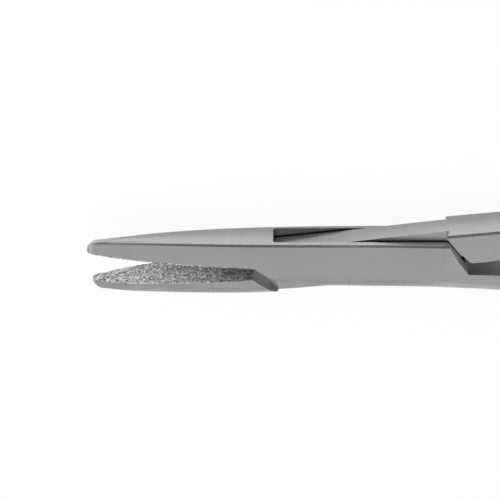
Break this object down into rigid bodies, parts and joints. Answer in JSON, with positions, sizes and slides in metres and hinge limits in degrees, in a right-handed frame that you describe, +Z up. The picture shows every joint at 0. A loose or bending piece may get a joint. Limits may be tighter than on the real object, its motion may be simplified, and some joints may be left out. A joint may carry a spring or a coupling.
{
  "type": "surgical needle holder",
  "caption": "Straight steel needle holder with a box lock, slim grit coated jaws, ratchet bars and finger rings, shown slightly open.",
  "frame": {"origin": "axis of the lock pin, on the lower face of the box lock, which lies on the table", "axes": "+X along the instrument from the pin to the finger rings, +Z up along the lock pin, +Y across, on the side of the box half's jaw"},
  "size_m": [0.1485, 0.0732, 0.0048],
  "materials": {
    "satin_steel": "satin ground stainless steel",
    "jaw_grit": "hard grit bonded to the jaw face"
  },
  "bodies": {
    "box_side": {"box_half": "satin_steel", "lock_pin": "satin_steel", "box_jaw_grit": "jaw_grit"},
    "tongue_side": {"tongue_half": "satin_steel", "tongue_jaw_grit": "jaw_grit"}
  },
  "joints": [
    {"name": "lock_hinge", "type": "hinge", "parent": "box_side", "child": "tongue_side", "pos_m": [0, 0, 0.00242], "axis": [0, 0, 1], "range_deg": [-7.7, 32.3]}
  ]
}
